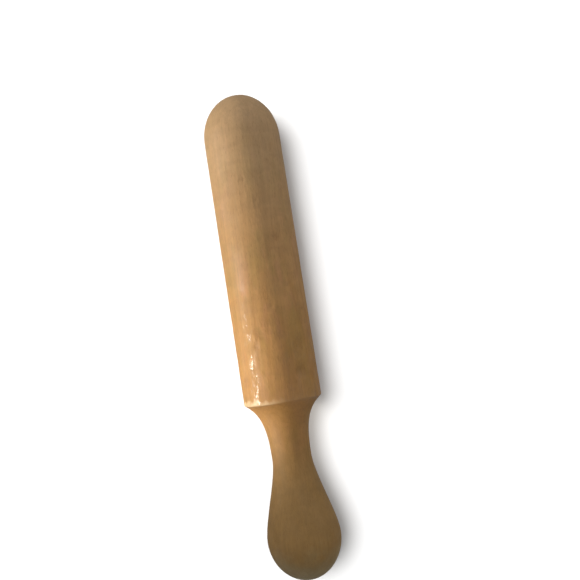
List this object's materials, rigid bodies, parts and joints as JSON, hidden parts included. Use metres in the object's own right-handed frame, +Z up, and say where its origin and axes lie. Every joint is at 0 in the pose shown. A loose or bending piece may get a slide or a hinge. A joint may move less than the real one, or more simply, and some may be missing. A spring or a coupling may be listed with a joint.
{
  "type": "clave",
  "caption": "Hand-held wooden clave: a long round striking barrel with a domed end, narrowing through a cove to a neck and a pear-shaped bulb handle.",
  "frame": {"origin": "midway along the stick, under its lathe axis, on the surface the stick lies on", "axes": "+X along the lathe axis towards the domed striking end, +Z up, +Y across"},
  "size_m": [0.25, 0.0396, 0.0395],
  "materials": {
    "turned_hardwood": "satin clear varnish over pale brown hardwood, worn and dented by playing"
  },
  "bodies": {
    "root": {"clave_stick": "turned_hardwood"}
  },
  "joints": []
}
